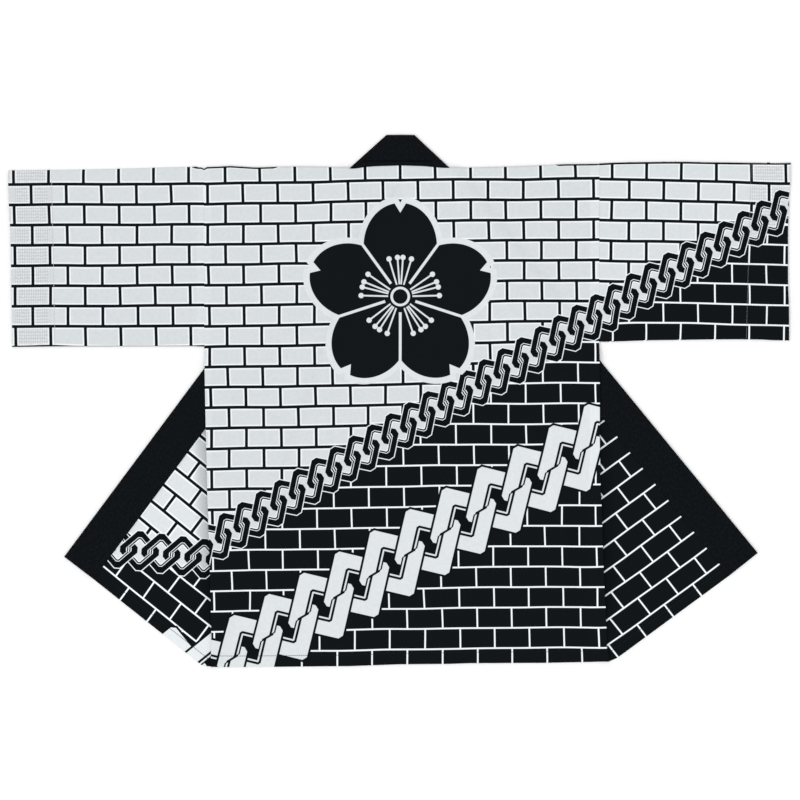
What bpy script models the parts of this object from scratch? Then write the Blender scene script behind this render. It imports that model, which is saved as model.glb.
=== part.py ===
# A happi coat laid flat with its back up. Metres: X along the sleeves, Y from hem to neck, Z up from
# the table. The body is one width of cloth, doubled at both sides, so that the fronts lie under the
# back. A slanting fold turns the rest of each front out past the side, with its outer face up.
import math

import bmesh
import bpy
import numpy as np
from mathutils import Vector
from mathutils.geometry import delaunay_2d_cdt

CLOTH = 0.0011  # wall of one layer of cloth
BAND = 0.003  # wall of the collar, which is folded cloth
GAP = 0.0003  # air between neighbours
DRAPE = 0.018  # stretch over which a layer comes down from an edge that it covers
DRAPE_ROWS = 3  # rows of points along that stretch
FOLD_BULGE = 0.0011  # how far a fold stands out past its line
FOLD_STEPS = 4  # facets round a fold
FINE = 0.020  # spacing of the points along the edges of the layers underneath
COARSE = 0.036  # spacing of the points elsewhere
SAME_PLACE = 1e-5  # points closer than this are one point

# Corners of the laid coat, x and y. The cloth lies a little unevenly, so each side has its own.
LEFT = {
    "cuff_top": (-0.6387, 0.3752),
    "cuff_foot": (-0.633, 0.089),
    "shoulder": (-0.3185, 0.3815),
    "armpit": (-0.3185, 0.088),
    "side_bend": (-0.3105, -0.270),
    "hem": (-0.308, -0.4347),
    "flap_foot": (-0.3215, -0.4336),
    "neck_point": (-0.080, 0.3795),
    "collar_tip": (-0.5477, -0.2553),
    "collar_side": (-0.3185, 0.053),
    "collar_foot": (-0.087, 0.3738),
    "collar_top": (-0.021, 0.434),
    "seam_tip": (-0.499, -0.2925),
    "seam_side": (-0.317, -0.046),
}
RIGHT = {
    "cuff_top": (0.6377, 0.387),
    "cuff_foot": (0.6377, 0.100),
    "shoulder": (0.327, 0.3868),
    "armpit": (0.3265, 0.096),
    "side_bend": (0.3337, -0.2712),
    "hem": (0.3432, -0.4263),
    "flap_foot": (0.3558, -0.421),
    "neck_point": (0.087, 0.3798),
    "collar_tip": (0.585, -0.2492),
    "collar_side": (0.334, 0.058),
    "collar_foot": (0.087, 0.3745),
    "collar_top": (0.026, 0.434),
    "seam_tip": (0.541, -0.285),
    "seam_side": (0.331, -0.024),
}
SIDES = (("left", LEFT, 1.0), ("right", RIGHT, -1.0))  # name, corners, way inwards along X
NECK_MIDDLE = (0.002, 0.3832)  # top edge of the back at the neck
NECK_SEAM = (0.002, 0.369)  # corner of the collar's inner edge behind the neck
HEM_MIDDLE = (0.002, -0.431)

WHITE_PRINT = (0.80, 0.81, 0.82, 1.0)
BLACK_DYE = (0.015, 0.016, 0.018, 1.0)


# Where the lines through a and b and through c and d cross.
def crossing(a, b, c, d):
    a, b, c, d = (np.array(corner) for corner in (a, b, c, d))
    share = np.linalg.solve(np.column_stack([b - a, c - d]), c - a)[0]
    return tuple(a + share * (b - a))


# Upper end of a front's slanting fold, at the collar's seam. The fold starts at the hem's corner and
# halves the angle between the flap's hem and the hem that stays under the back.
def fold_top(side, inward):
    hem = np.array(side["hem"])
    flap_hem = np.array(side["collar_tip"]) - hem
    along = flap_hem / np.linalg.norm(flap_hem) + np.array([inward, 0.0])
    return crossing(hem, hem + along, side["seam_side"], NECK_SEAM)


# Half of the collar's outline, from its top edge round the end to the seam behind the neck.
def half_collar(side, inward):
    corners = ("collar_top", "collar_foot", "collar_side", "collar_tip", "seam_tip", "seam_side")
    return [side[corner] for corner in corners] + [fold_top(side, inward)]


# The coat's layers, by name: the outline of each in the plan.
def outlines():
    layers = {}
    for name, side, inward in SIDES:
        top = fold_top(side, inward)
        sleeve = ("cuff_top", "shoulder", "armpit", "cuff_foot")
        under = ("hem", "side_bend", "armpit", "shoulder", "neck_point")
        flap = ("hem", "flap_foot", "seam_tip", "seam_side")
        layers["sleeve_" + name] = [side[corner] for corner in sleeve]
        layers["under_" + name] = [side[corner] for corner in under] + [top]
        layers["flap_" + name] = [side[corner] for corner in flap] + [top]
    layers["collar"] = [*half_collar(LEFT, 1.0), NECK_SEAM, *half_collar(RIGHT, -1.0)[::-1]]
    corners = ("hem", "side_bend", "armpit", "shoulder", "neck_point")
    left, right = ([side[corner] for corner in corners] for side in (LEFT, RIGHT))
    layers["back"] = [*left, NECK_MIDDLE, *right[::-1], HEM_MIDDLE]
    return {name: counterclockwise(outline) for name, outline in layers.items()}


def counterclockwise(outline):
    x, y = np.array(outline).T
    turned = x @ np.roll(y, -1) > y @ np.roll(x, -1)
    return outline if turned else outline[::-1]


# The outline with points added, so that no two are further apart than the spacing.
def divided(outline, spacing):
    points = []
    for start, end in zip(outline, outline[1:] + outline[:1]):
        start, end = np.array(start), np.array(end)
        steps = math.ceil(np.linalg.norm(end - start) / spacing)
        points += [tuple(start + (end - start) * step / steps) for step in range(steps)]
    return points


# Distance from each plan point to the edges of an outline.
def edge_distance(points, outline):
    start = np.array(outline)
    edge = np.roll(start, -1, axis=0) - start
    offset = points[:, None] - start[None]
    along = np.clip((offset * edge).sum(2) / (edge**2).sum(1), 0.0, 1.0)
    return np.linalg.norm(offset - along[..., None] * edge, axis=2).min(1)


# True for the plan points inside an outline: a line to +X from them crosses it an odd number of times.
def inside(points, outline):
    start = np.array(outline)
    end = np.roll(start, -1, axis=0)
    x, y = points[:, :1], points[:, 1:]
    straddles = (start[:, 1] > y) != (end[:, 1] > y)
    rise = np.where(end[:, 1] == start[:, 1], 1.0, end[:, 1] - start[:, 1])
    meets = start[:, 0] + (y - start[:, 1]) * (end[:, 0] - start[:, 0]) / rise
    return (straddles & (meets > x)).sum(1) % 2 == 1


# 1 over the outlines, falling to 0 at a drape's length from them, level at both ends.
def lifted(points, outlines_below):
    away = [
        np.where(inside(points, outline), 0.0, edge_distance(points, outline))
        for outline in outlines_below
    ]
    share = np.clip(np.min(away, axis=0) / DRAPE, 0.0, 1.0)
    return 1.0 - share**2 * (3.0 - 2.0 * share)


# Rows of points on both sides of an outline, across the stretch where the layer above comes down.
def drape_rows(outline):
    points = np.array(divided(outline, FINE))
    along = np.roll(points, -1, axis=0) - np.roll(points, 1, axis=0)
    along /= np.linalg.norm(along, axis=1)[:, None]
    normal = np.column_stack([along[:, 1], -along[:, 0]]) * DRAPE / DRAPE_ROWS
    rows = [row for row in range(-DRAPE_ROWS, DRAPE_ROWS + 1) if row]
    return np.vstack([points + normal * row for row in rows])


# A grid of points in staggered rows over the whole coat.
def plain_grid(layers):
    corners = np.vstack(list(layers.values()))
    low, high = corners.min(axis=0), corners.max(axis=0)
    across = np.arange(low[0], high[0], COARSE)
    rows = np.arange(low[1], high[1], COARSE * math.sqrt(3) / 2)
    return np.array([(x + COARSE / 2 * (row % 2), y) for row, y in enumerate(rows) for x in across])


# Points between the outlines, each clear of the outlines and of those chosen before it.
def filling(layers):
    draped_over = [layer for name, layer in layers.items() if name.startswith(("collar", "under", "flap"))]
    rows = np.vstack([drape_rows(layer) for layer in draped_over])
    row_apart = DRAPE / DRAPE_ROWS * 0.9
    kept = []
    for points, apart in ((rows, row_apart), (plain_grid(layers), COARSE * 0.6)):
        clear = np.min([edge_distance(points, layer) for layer in layers.values()], axis=0) > row_apart
        covered = np.any([inside(points, layer) for layer in layers.values()], axis=0)
        for point in points[clear & covered]:
            if not kept or np.linalg.norm(np.array(kept) - point, axis=1).min() > apart:
                kept.append(tuple(point))
    return kept


# One net of triangles for the whole coat, so that layers that lie on each other share its points and
# keep their gap everywhere. Returns the points and, for each layer, its triangles.
def plan_net(layers):
    points, loops = [], []
    for name, outline in layers.items():
        spacing = COARSE if name.startswith(("sleeve", "back")) else FINE
        around = divided(outline, spacing)
        loops.append(list(range(len(points), len(points) + len(around))))
        points += around
    corners = [Vector(point) for point in points + filling(layers)]
    inside_only = 1
    net = delaunay_2d_cdt(corners, [], loops, inside_only, SAME_PLACE / 10, True)
    plan, faces, owners = net[0], net[2], net[5]
    triangles = {
        name: [tuple(face) for face, owner in zip(faces, owners) if index in owner]
        for index, name in enumerate(layers)
    }
    return np.array([tuple(point) for point in plan]), triangles


# The directed edges round a set of triangles, with the layer on the left of each.
def rim(triangles):
    directed = {(a, b) for face in triangles for a, b in zip(face, face[1:] + face[:1])}
    return sorted((a, b) for a, b in directed if (b, a) not in directed)


# For each point of some rim edges, the unit normals of its edges that point out of the layer.
def outward_normals(plan, edges):
    normals = {}
    for a, b in edges:
        along = plan[b] - plan[a]
        outward = np.array([along[1], -along[0]]) / np.linalg.norm(along)
        for point in (a, b):
            normals.setdefault(point, []).append(outward)
    return normals


# The layer's plan, drawn in by half a gap all round, so that pieces sewn side by side stay apart.
def drawn_in(plan, edges):
    moved = plan.copy()
    sharpest = 0.05
    for point, (first, second) in outward_normals(plan, edges).items():
        mitre = (first + second) / max(1.0 + first @ second, sharpest)
        moved[point] -= mitre * GAP / 2
    return moved


def on_fold(plan, edge, folds):
    return any(edge_distance(plan[list(edge)], fold).max() < SAME_PLACE for fold in folds)


# Adds one layer to a solid. Walls close its rim, apart from the edges along folds. Returns its lower
# and its upper points, and the edges along folds.
def add_layer(solid, plan, triangles, bottom, wall, folds):
    edges = rim(triangles)
    laid = drawn_in(plan, edges)
    used = sorted({point for face in triangles for point in face})
    low = {p: solid.verts.new((*laid[p], bottom[p])) for p in used}
    high = {p: solid.verts.new((*laid[p], bottom[p] + wall)) for p in used}
    for face in triangles:
        solid.faces.new([high[p] for p in face])
        solid.faces.new([low[p] for p in reversed(face)])
    folded = [edge for edge in edges if on_fold(plan, edge, folds)]
    for a, b in edges:
        if (a, b) not in folded:
            solid.faces.new([low[a], low[b], high[b], high[a]])
    return low, high, folded


# The points round the outside of a fold, from the lower layer's underside to the upper one's top.
def fold_ring(solid, foot, head, outward):
    ring = [foot]
    for step in range(1, FOLD_STEPS):
        turn = math.pi * step / FOLD_STEPS
        between = foot.co.lerp(head.co, (1.0 - math.cos(turn)) / 2)
        ring.append(solid.verts.new(between + outward * FOLD_BULGE * math.sin(turn)))
    return [*ring, head]


# Joins two layers along their folds with a rounded outside and a flat pocket, and closes the ends.
def add_folds(solid, plan, lower, upper):
    low, low_top, folded = lower
    high_under, high, _ = upper
    rings = {}
    for point, normals in outward_normals(plan, folded).items():
        outward = Vector((*np.sum(normals, axis=0), 0.0)).normalized()
        rings[point] = fold_ring(solid, low[point], high[point], outward)
    for a, b in folded:
        for step in range(FOLD_STEPS):
            near, far = rings[a][step : step + 2], rings[b][step : step + 2]
            solid.faces.new([near[0], far[0], far[1], near[1]])
        solid.faces.new([low_top[a], high_under[a], high_under[b], low_top[b]])
    starts, ends = {a for a, _ in folded}, {b for _, b in folded}
    for point in sorted(starts ^ ends):
        cap = [*rings[point], high_under[point], low_top[point]]
        solid.faces.new(cap if point in starts else cap[::-1])


# A Principled material of plain cotton.
def cotton(name, color):
    material = bpy.data.materials.new(name)
    material.use_nodes = True
    shader = material.node_tree.nodes["Principled BSDF"]
    shader.inputs["Base Color"].default_value = color
    shader.inputs["Roughness"].default_value = 0.9
    shader.inputs["Metallic"].default_value = 0.0
    return material


def add_object(name, solid, color):
    mesh = bpy.data.meshes.new(name)
    solid.to_mesh(mesh)
    solid.free()
    mesh.shade_smooth()
    mesh.set_sharp_from_angle(angle=math.radians(40))
    mesh.materials.append(cotton(name, color))
    bpy.context.scene.collection.objects.link(bpy.data.objects.new(name, mesh))


# A piece of one layer.
def add_single(name, plan, triangles, bottom, wall, color):
    solid = bmesh.new()
    add_layer(solid, plan, triangles, bottom, wall, [])
    add_object(name, solid, color)


# A piece of two layers, each with its triangles and heights, that are joined along folds.
def add_folded(name, plan, lower, upper, folds):
    solid = bmesh.new()
    under = add_layer(solid, plan, *lower, CLOTH, folds)
    over = add_layer(solid, plan, *upper, CLOTH, folds)
    add_folds(solid, plan, under, over)
    add_object(name, solid, WHITE_PRINT)


# The table carries the flaps, the collar and the sleeves. The rest of each front lies over its flap
# and over the collar, and the back over all of these.
def add_coat():
    layers = outlines()
    plan, triangles = plan_net(layers)
    collar = [layers["collar"]]
    flaps = [layers["flap_left"], layers["flap_right"]]
    unders = [layers["under_left"], layers["under_right"]]
    table = np.zeros(len(plan))
    over_flaps = (CLOTH + GAP) * lifted(plan, flaps + collar) + (BAND - CLOTH) * lifted(plan, collar)
    over_fronts = over_flaps + (CLOTH + GAP) * lifted(plan, unders)
    for name, side, inward in SIDES:
        flap, under, sleeve = (triangles[part + name] for part in ("flap_", "under_", "sleeve_"))
        slant = [[side["hem"], fold_top(side, inward)]]
        along_sleeve = [
            [side["cuff_top"], side["shoulder"]],
            [side["cuff_foot"], side["armpit"]],
        ]
        add_folded("front_" + name, plan, (flap, table), (under, over_flaps), slant)
        add_folded("sleeve_" + name, plan, (sleeve, table), (sleeve, table + CLOTH + GAP), along_sleeve)
    add_single("collar", plan, triangles["collar"], table, BAND, BLACK_DYE)
    add_single("back", plan, triangles["back"], over_fronts, CLOTH, WHITE_PRINT)


for old in list(bpy.data.objects):
    bpy.data.objects.remove(old, do_unlink=True)
add_coat()
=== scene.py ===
import math

import bmesh
import bpy
import numpy as np
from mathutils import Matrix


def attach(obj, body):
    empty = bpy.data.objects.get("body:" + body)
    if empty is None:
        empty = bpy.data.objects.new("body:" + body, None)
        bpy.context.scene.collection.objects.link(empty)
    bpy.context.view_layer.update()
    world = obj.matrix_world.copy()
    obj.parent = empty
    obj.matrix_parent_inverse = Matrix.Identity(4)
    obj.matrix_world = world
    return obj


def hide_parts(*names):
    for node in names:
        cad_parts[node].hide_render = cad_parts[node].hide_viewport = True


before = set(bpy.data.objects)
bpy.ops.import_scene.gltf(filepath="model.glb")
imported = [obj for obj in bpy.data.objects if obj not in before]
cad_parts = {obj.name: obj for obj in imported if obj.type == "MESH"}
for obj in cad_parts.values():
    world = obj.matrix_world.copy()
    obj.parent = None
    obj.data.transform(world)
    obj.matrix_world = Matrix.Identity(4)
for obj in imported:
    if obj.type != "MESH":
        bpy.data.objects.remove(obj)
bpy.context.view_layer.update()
scene = bpy.context.scene

# A happi coat laid flat with its back up. Lengths are in metres, x along the sleeves, y up to the neck.
cloth = {
    "layer": 0.0011,  # room for one layer of cloth
    "wall": 0.0006,  # the cloth itself
    "band": 0.003,  # folded cloth of the collar
    "air": 0.0003,  # between layers
    "drape": 0.018,  # stretch over which a layer comes down from an edge below it
    "mesh": 0.0048,  # spacing of the points
    "rim": 0.0002,  # step beside a cut edge
    "hem": 0.0190,  # depth of the turned hem
    "cuff": 0.0715,  # depth of the turned cuff
    "lastStep": 0.0026,  # from the last row but one to a folded upper edge
}
turned = {  # a turned edge, sewn through
    "rise": 0.0004,  # of the doubled cloth
    "soft": 0.003,  # stretch over which it falls
    "pull": 0.0003,  # how far the stitches pull it down
    "wide": 0.0012,  # width of their groove
    "inset": 0.001,  # from the fold's inner edge to the stitches
}
armhole = {  # the seam between body and sleeve
    "groove": 0.00006, "wide": 0.002,  # its depth and width
    "allowance": 0.00025, "deep": 0.010,  # height and depth of the turned cloth under the back
    "middle": 0.24, "half": 0.152,  # where it runs, in y
}
leftSide = {
    "name": "left", "inward": 1.0,  # the way inwards along x
    "cuffTop": (-0.6387, 0.3752), "cuffFoot": (-0.633, 0.089),
    "shoulder": (-0.3185, 0.3815), "armpit": (-0.3185, 0.088),
    "sideBend": (-0.3105, -0.27), "hem": (-0.308, -0.4347), "flapFoot": (-0.3215, -0.4336),
    "neckPoint": (-0.08, 0.3795), "collarTip": (-0.5477, -0.2553), "collarSide": (-0.3185, 0.053),
    "collarFoot": (-0.088, 0.3738), "collarTop": (-0.021, 0.434),
    "seamTip": (-0.4996, -0.292), "seamSide": (-0.317, -0.046),
    "hinge": (-0.313, -0.434), "flapTurn": 37.45,  # where the flap's print turns, and by how many degrees
}
rightSide = {
    "name": "right", "inward": -1.0,
    "cuffTop": (0.6377, 0.387), "cuffFoot": (0.6377, 0.1),
    "shoulder": (0.327, 0.3868), "armpit": (0.3265, 0.096),
    "sideBend": (0.3337, -0.2712), "hem": (0.3432, -0.4263), "flapFoot": (0.3558, -0.421),
    "neckPoint": (0.087, 0.3798), "collarTip": (0.5858, -0.2492), "collarSide": (0.334, 0.058),
    "collarFoot": (0.0885, 0.3745), "collarTop": (0.0247, 0.434),
    "seamTip": (0.539, -0.2865), "seamSide": (0.3294, -0.0253),
    "hinge": (0.343, -0.428), "flapTurn": -36.64,
}
sides = (leftSide, rightSide)
neckSeam = (0.002, 0.369)
# The edges wave a little where the cloth isn't pulled straight.
edges = {
    "hem": [(-0.308, -0.435), (-0.275, -0.4357), (-0.197, -0.4353), (-0.119, -0.4343), (-0.08, -0.4341),
            (-0.04, -0.4326), (0.0, -0.4311), (0.08, -0.4305), (0.115, -0.4293), (0.233, -0.4289),
            (0.31, -0.4273), (0.3432, -0.4263)],
    "neck": [(-0.3185, 0.379), (-0.3137, 0.3815), (-0.29, 0.3826), (-0.277, 0.3832), (-0.255, 0.3818),
             (-0.236, 0.3806), (-0.197, 0.3817), (-0.158, 0.3822), (-0.119, 0.3816), (-0.09, 0.38),
             (-0.078, 0.3781), (-0.068, 0.379), (-0.058, 0.3808), (-0.04, 0.3823), (0.002, 0.3837),
             (0.04, 0.3826), (0.062, 0.3804), (0.078, 0.3795), (0.092, 0.3804), (0.115, 0.3804),
             (0.154, 0.381), (0.194, 0.3824), (0.233, 0.384), (0.272, 0.386), (0.327, 0.3864)],
    "left": [(-0.6387, 0.3752), (-0.55, 0.376), (-0.47, 0.3774), (-0.42, 0.3787), (-0.38, 0.3801),
             (-0.3235, 0.3812), (-0.3185, 0.3786)],
    "right": [(0.327, 0.3864), (0.35, 0.3878), (0.39, 0.3886), (0.43, 0.3892), (0.47, 0.3892),
              (0.51, 0.3885), (0.55, 0.3878), (0.59, 0.388), (0.6377, 0.3878)],
    "leftFoot": [(-0.633, 0.0884), (-0.59, 0.089), (-0.55, 0.0894), (-0.342, 0.0899), (-0.3185, 0.089)],
    "rightFoot": [(0.3265, 0.0965), (0.36, 0.0976), (0.41, 0.0993), (0.508, 0.1007), (0.557, 0.1009),
                  (0.59, 0.1006), (0.614, 0.0993), (0.6377, 0.099)],
}
bodySides = {  # from the hem to the shoulder
    "left": [(-0.308, -0.4347), (-0.3068, -0.385), (-0.3077, -0.347), (-0.3095, -0.27), (-0.3119, -0.208),
             (-0.3142, -0.13), (-0.3185, 0.088), (-0.3185, 0.3815)],
    "right": [(0.3432, -0.4263), (0.339, -0.404), (0.3383, -0.372), (0.3371, -0.34), (0.3354, -0.306),
              (0.3337, -0.2712), (0.3328, -0.239), (0.3314, -0.205), (0.3304, -0.172), (0.3288, -0.139),
              (0.3274, -0.06), (0.3273, 0.05), (0.3265, 0.096), (0.327, 0.3868)],
}
cuffs = {  # from the foot to the top
    "left": [(-0.6325, 0.09), (-0.6327, 0.121), (-0.6332, 0.154), (-0.6338, 0.188), (-0.6343, 0.221),
             (-0.6349, 0.253), (-0.6359, 0.286), (-0.6377, 0.319), (-0.639, 0.353), (-0.6389, 0.376)],
    "right": [(0.637, 0.1), (0.6367, 0.15), (0.6351, 0.194), (0.6351, 0.276), (0.6372, 0.338),
              (0.6387, 0.356), (0.6396, 0.386)],
}


# Where the lines through a and b and through c and d cross.
def crossing(a, b, c, d):
    a, b, c, d = (np.array(corner) for corner in (a, b, c, d))
    share = np.linalg.solve(np.column_stack([b - a, c - d]), c - a)[0]
    return tuple(a + share * (b - a))


# The named corners of a side, in order.
def cornersOf(side, *names):
    return [side[name] for name in names]


# Upper end of the slanting fold, which halves the angle between the flap's hem and the front's.
def foldTop(side):
    hem = np.array(side["hem"])
    flapHem = np.array(side["collarTip"]) - hem
    along = flapHem / np.linalg.norm(flapHem) + np.array([side["inward"], 0.0])
    return crossing(hem, hem + along, side["seamSide"], neckSeam)


for side in sides:
    side["foldTop"] = foldTop(side)
    side["flap"] = cornersOf(side, "hem", "flapFoot", "seamTip", "seamSide", "foldTop")
    side["under"] = cornersOf(side, "hem", "sideBend", "armpit", "shoulder", "neckPoint", "foldTop")
halfCollar = ("collarTop", "collarFoot", "collarSide", "collarTip", "seamTip", "seamSide", "foldTop")
collarOutline = cornersOf(leftSide, *halfCollar) + [neckSeam] + cornersOf(rightSide, *halfCollar[::-1])


# Height of a waving edge at each place along x, straight between its points.
def edgeHeight(name, x):
    return np.interp(x, *zip(*edges[name]))


# Place along x of a body's side or a cuff at each height, straight between its points.
def placeAt(line, y):
    places, heights = zip(*line)
    return np.interp(y, heights, places)


# Points on the body's side at the heights.
def onSide(side, y):
    return np.column_stack([placeAt(bodySides[side["name"]], y), y])


# Distance of the points from an outline's edges, and 0 inside it.
def awayFrom(x, y, outline):
    start = np.array(outline)
    end = np.roll(start, -1, axis=0)
    edge = end - start
    dx, dy = x[..., None] - start[:, 0], y[..., None] - start[:, 1]
    share = np.clip((dx * edge[:, 0] + dy * edge[:, 1]) / (edge**2).sum(1), 0, 1)
    distance = np.hypot(dx - share * edge[:, 0], dy - share * edge[:, 1]).min(-1)
    straddles = (start[:, 1] > y[..., None]) != (end[:, 1] > y[..., None])
    rise = np.where(edge[:, 1] == 0, 1, edge[:, 1])
    meets = start[:, 0] + (y[..., None] - start[:, 1]) * edge[:, 0] / rise
    inside = (straddles & (meets > x[..., None])).sum(-1) % 2 == 1
    return np.where(inside, 0.0, distance)


# 1 over the outlines, falling to 0 at a drape's length from them: 1 - 3s^2 + 2s^3 of the share s.
def lifted(x, y, outlines):
    share = np.clip(np.min([awayFrom(x, y, o) for o in outlines], axis=0) / cloth["drape"], 0, 1)
    return 1 - share**2 * (3 - 2 * share)


# Height of the upper side of the flaps and the collar, where the fronts lie on them.
def overFlaps(x, y):
    step = cloth["layer"] + cloth["air"]
    rise = step * lifted(x, y, [leftSide["flap"], rightSide["flap"], collarOutline])
    return rise + (cloth["band"] - cloth["layer"]) * lifted(x, y, [collarOutline])


# Height of the upper side of the fronts, where the back lies on them.
def overFronts(x, y):
    step = cloth["layer"] + cloth["air"]
    return overFlaps(x, y) + step * lifted(x, y, [side["under"] for side in sides])


# Soft troughs and ridges: each runs from one point to another with a bow of a fiftieth of its length, a
# width w and a height. It is exp(-(d/w)^2) at distance d across, times 1 - (2a - 1)^4 at share a along.
def creased(x, y, creases):
    height = np.zeros_like(x)
    for x0, y0, x1, y1, width, lift in creases:
        length = math.hypot(x1 - x0, y1 - y0)
        ux, uy = (x1 - x0) / length, (y1 - y0) / length
        along = ((x - x0) * ux + (y - y0) * uy) / length
        bow = 0.02 * length * np.sin(np.pi * np.clip(along, 0, 1))
        across = (y - y0) * ux - (x - x0) * uy - bow
        fade = np.clip(1 - (2 * along - 1) ** 4, 0, 1) * (along > 0) * (along < 1)
        height += lift * fade * np.exp(-((across / width) ** 2))
    return height


# Low rolling of cloth that has been folded away: sines of uneven length along both ways.
def rolling(x, y, lift, phase):
    return lift * (
        np.sin(23.0 * x + 9.0 * y + phase) * np.sin(17.0 * y - 6.0 * x + 2.1 * phase)
        + 0.5 * np.sin(41.0 * x - 19.0 * y + 1.7 * phase) * np.sin(31.0 * y + 11.0 * x + phase)
    )


# 1 inside a distance from an edge, and 0 beyond it, smooth over a short stretch.
def closeTo(distance, reach, soft):
    share = np.clip((distance - reach) / soft + 0.5, 0, 1)
    return 1 - share**2 * (3 - 2 * share)


# Height of the fold at a turned edge: twice the cloth as far as the stitches, which pull it down.
def turnedEdge(distance, depth):
    groove = np.exp(-(((distance - depth + turned["inset"]) / turned["wide"]) ** 2))
    return turned["rise"] * closeTo(distance, depth, turned["soft"]) - turned["pull"] * groove


# Signed distance of the points from the line through a and b, positive on its left.
def fromLine(x, y, a, b):
    ux, uy = b[0] - a[0], b[1] - a[1]
    return (ux * (y - a[1]) - uy * (x - a[0])) / math.hypot(ux, uy)


# Distance of the points from the line through two corners of a side.
def fromSeam(x, y, side, a, b):
    return np.abs(fromLine(x, y, side[a], side[b]))


# Depth of the armhole's seam at a distance d from it: the groove times exp(-(d/w)^2).
def seamGroove(distance):
    return armhole["groove"] * np.exp(-((distance / armhole["wide"]) ** 2))


# Shares from 0 to 1 for a length, evenly spaced but a millimetre apart round one place, with a narrow step
# at each end, which keeps the round of the edge narrow, or with the last step of its own length.
def spaced(length, closeAt=None, last=None, reach=0.004, past=0.003):
    step, end, rim = cloth["mesh"], length - (last or 0), cloth["rim"]
    if closeAt is None:
        places = np.linspace(0, end, max(2, round(end / step)) + 1)
    else:
        near = np.linspace(closeAt - reach, closeAt + past, round((reach + past) * 1000) + 1)
        before = np.linspace(0, near[0], max(2, round(near[0] / step)) + 1)[:-1]
        after = np.linspace(near[-1], end, max(2, round((end - near[-1]) / step)) + 1)[1:]
        places = np.concatenate([before, near, after])
    places = np.union1d(places, [rim, length if last else length - rim])
    return places / length


# x and y turned about 0 by an angle in degrees.
def rotated(x, y, angle):
    cosine, sine = math.cos(math.radians(angle)), math.sin(math.radians(angle))
    return x * cosine - y * sine, x * sine + y * cosine


# Points turned about a hinge.
def turnedAbout(x, y, hinge, angle):
    dx, dy = rotated(x - hinge[0], y - hinge[1], angle)
    return hinge[0] + dx, hinge[1] + dy


# Print coordinates where the cloth is drawn aside. Each pull adds its shift times
# exp(-(dx/wide)^2 - (dy/high)^2), with dx and dy the distances from its centre. All in millimetres.
def pulled(x, y, pulls):
    u, v = 1000 * x, 1000 * y
    for atX, atY, wide, high, shiftX, shiftY in pulls:
        share = np.exp(-(((1000 * x - atX) / wide) ** 2) - ((1000 * y - atY) / high) ** 2)
        u, v = u + shiftX * share, v + shiftY * share
    return u / 1000, v / 1000


# Rows of points between two lines of them, at shares s of the way: a + (b - a) s. Returns x and y.
def rowsBetween(a, b, shares):
    return [a[:, n:n + 1] + (b[:, n:n + 1] - a[:, n:n + 1]) * shares for n in (0, 1)]


# The round of a fold between two layers, half a circle: how far it stands out, and its height.
def foldRound(low, high, steps):
    turn = np.linspace(0, np.pi, steps + 1)[1:-1]
    return (high - low) / 2 * np.sin(turn), low + (high - low) * (1 - np.cos(turn)) / 2


# Points mirrored in the line through a and b.
def reflected(x, y, a, b):
    away = fromLine(x, y, a, b)
    length = math.hypot(b[0] - a[0], b[1] - a[1])
    nx, ny = -(b[1] - a[1]) / length, (b[0] - a[0]) / length
    return x - 2 * away * nx, y - 2 * away * ny


# An object at the origin for a mesh, a light or a camera.
def addObject(name, data):
    thing = bpy.data.objects.new(name, data)
    scene.collection.objects.link(thing)
    return thing


# A smooth piece from its points, its faces of four corners and the points' print coordinates. Points that
# meet are made one.
def makePiece(name, points, faces, prints):
    mesh = bpy.data.meshes.new(name)
    mesh.from_pydata(points, [], faces)
    layer = mesh.uv_layers.new(name="print")
    layer.data.foreach_set("uv", prints[faces.ravel()].astype(np.float32).ravel())
    merged = bmesh.new()
    merged.from_mesh(mesh)
    bmesh.ops.remove_doubles(merged, verts=merged.verts, dist=1e-5)
    bmesh.ops.dissolve_degenerate(merged, edges=merged.edges, dist=1e-6)
    merged.to_mesh(mesh)
    merged.free()
    mesh.shade_smooth()
    return addObject(name, mesh)


# A sheet from grids of points and of print coordinates, facing along rows x columns or the other way.
def makeSheet(name, grids, flipped):
    points, faces, prints, start = [], [], [], 0
    for x, y, z, u, v in grids:
        rows, columns = x.shape
        index = start + np.arange(rows * columns).reshape(rows, columns)
        quads = np.stack([index[:-1, :-1], index[1:, :-1], index[1:, 1:], index[:-1, 1:]], -1).reshape(-1, 4)
        points.append(np.stack([x, y, z], -1).reshape(-1, 3))
        prints.append(np.stack([u, v], -1).reshape(-1, 2))
        faces.append(quads[:, ::-1] if flipped else quads)
        start += rows * columns
    return makePiece(name, np.vstack(points), np.vstack(faces), np.vstack(prints))


# Gives a piece its materials, rides it on the coat and lets it stand for a solid.
def dress(piece, materials, solidName=None):
    for material in materials:
        piece.data.materials.append(material)
    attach(piece, "root")
    if solidName:
        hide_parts(solidName)


# Sets a node's input, or links it to a field.
def setInput(slot, value):
    if isinstance(value, Field):
        value.tree.links.new(value.socket, slot)
    else:
        slot.default_value = value


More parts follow.
